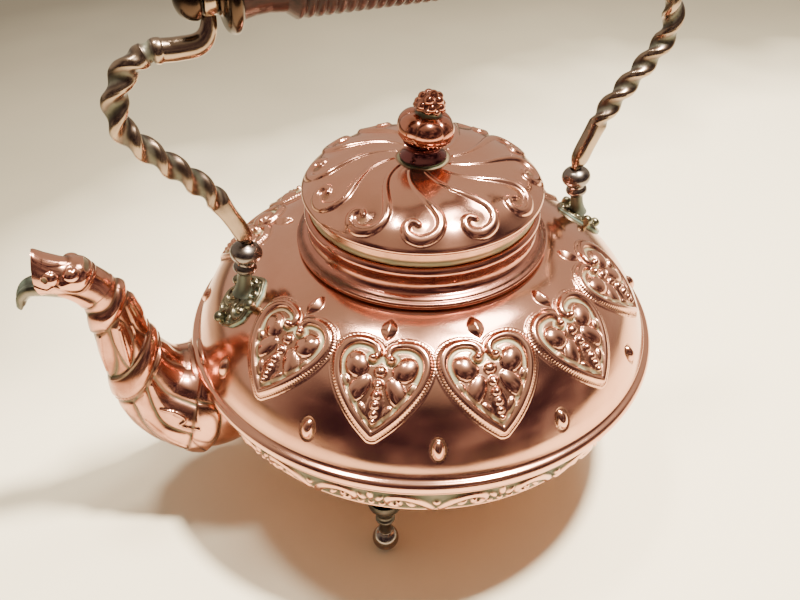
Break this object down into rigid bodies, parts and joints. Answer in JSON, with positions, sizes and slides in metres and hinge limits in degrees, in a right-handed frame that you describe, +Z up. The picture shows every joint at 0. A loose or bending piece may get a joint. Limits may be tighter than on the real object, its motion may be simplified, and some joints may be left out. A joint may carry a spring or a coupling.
{
  "type": "kettle",
  "caption": "Low round footed kettle in embossed sheet metal, with a bird-headed pouring spout, a lift-off domed lid with a knob, and a fixed overhead handle with a ridged grip.",
  "frame": {"origin": "on the floor plane, at the centre of the kettle's bounding box", "axes": "+Z up, the spout points along -X, the kettle's turned axis is vertical at x = 0.0254 m"},
  "size_m": [0.2978, 0.22, 0.2602],
  "materials": {
    "copper": "polished copper with green-grey patina in the relief",
    "aged_brass": "tarnished, with green edges",
    "handle_metal": "dull polish, darkened in the twists",
    "dark_wood": "turned and polished",
    "dark_metal": "dark bronze"
  },
  "bodies": {
    "kettle_body": {"upper_shell": "copper", "lower_bowl": "copper", "neck_collar": "copper", "left_foot": "aged_brass", "right_foot": "aged_brass", "rear_foot": "aged_brass", "spout_breast": "copper", "spout_neck": "copper", "spout_head": "copper", "front_plate": "aged_brass", "rear_plate": "aged_brass", "front_outer_rivet": "aged_brass", "front_left_rivet": "aged_brass", "front_right_rivet": "aged_brass", "rear_outer_rivet": "aged_brass", "rear_left_rivet": "aged_brass", "rear_right_rivet": "aged_brass", "front_ball_collar": "aged_brass", "rear_ball_collar": "aged_brass", "front_arm": "handle_metal", "rear_arm": "handle_metal", "front_ball_nut": "handle_metal", "rear_ball_nut": "handle_metal", "front_ferrule": "aged_brass", "rear_ferrule": "aged_brass", "grip_barrel": "dark_wood", "tie_rod": "handle_metal"},
    "lid": {"lid_dome": "copper", "lid_skirt": "copper", "knob_spool": "dark_metal", "knob_bulb": "copper", "knob_finial": "copper", "knob_stud": "dark_metal", "knob_washer": "dark_metal", "knob_nut": "dark_metal"}
  },
  "joints": [
    {"name": "lid_lift", "type": "slide", "parent": "kettle_body", "child": "lid", "axis": [0, 0, 1], "range_m": [0, 0.03]}
  ]
}
